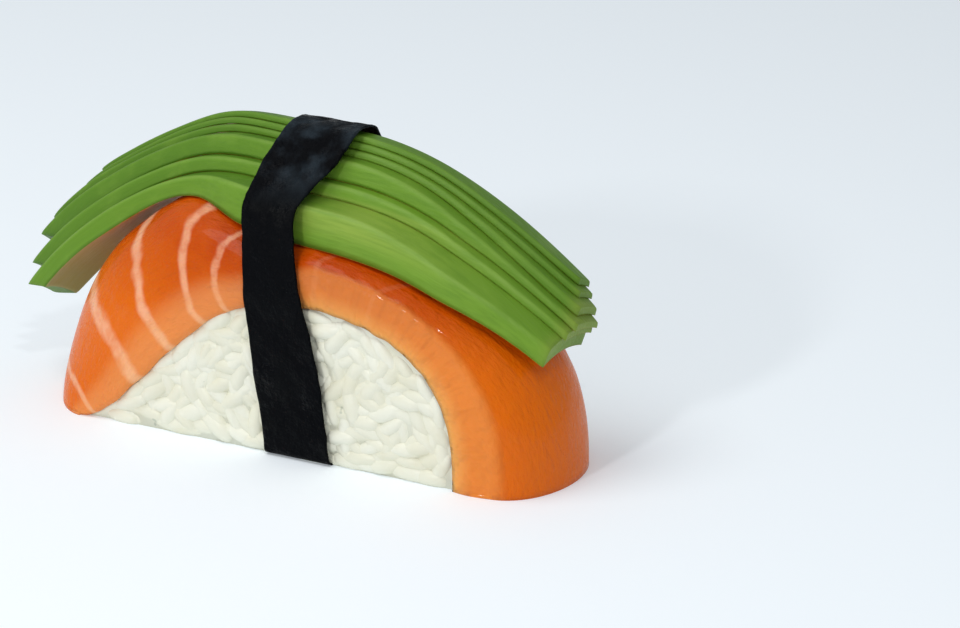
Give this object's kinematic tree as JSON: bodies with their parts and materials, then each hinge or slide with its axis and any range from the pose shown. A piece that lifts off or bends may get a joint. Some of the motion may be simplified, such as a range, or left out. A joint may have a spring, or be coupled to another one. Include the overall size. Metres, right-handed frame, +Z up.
{
  "type": "salmon nigiri",
  "caption": "Nigiri of pressed rice under a slice of salmon, topped with a fan of thin avocado slices and held by a nori band.",
  "frame": {"origin": "middle of the footprint's bounding box, on the surface that the nigiri stands on", "axes": "+X along the nigiri towards its rounded salmon end, +Y across it away from the side that the fan of slices steps up from, +Z up"},
  "size_m": [0.0758, 0.0216, 0.0378],
  "materials": {
    "rice": "cooked rice, slightly glossy and translucent",
    "salmon": "raw salmon, moist, with pale fat lines",
    "avocado": "ripe avocado flesh, green at the rim and paler inside",
    "nori": "dried seaweed sheet, near black, satin, finely wrinkled"
  },
  "bodies": {
    "root": {"rice": "rice", "salmon": "salmon", "avocado_1": "avocado", "avocado_2": "avocado", "avocado_3": "avocado", "avocado_4": "avocado", "avocado_5": "avocado", "avocado_6": "avocado", "nori": "nori"}
  },
  "joints": []
}
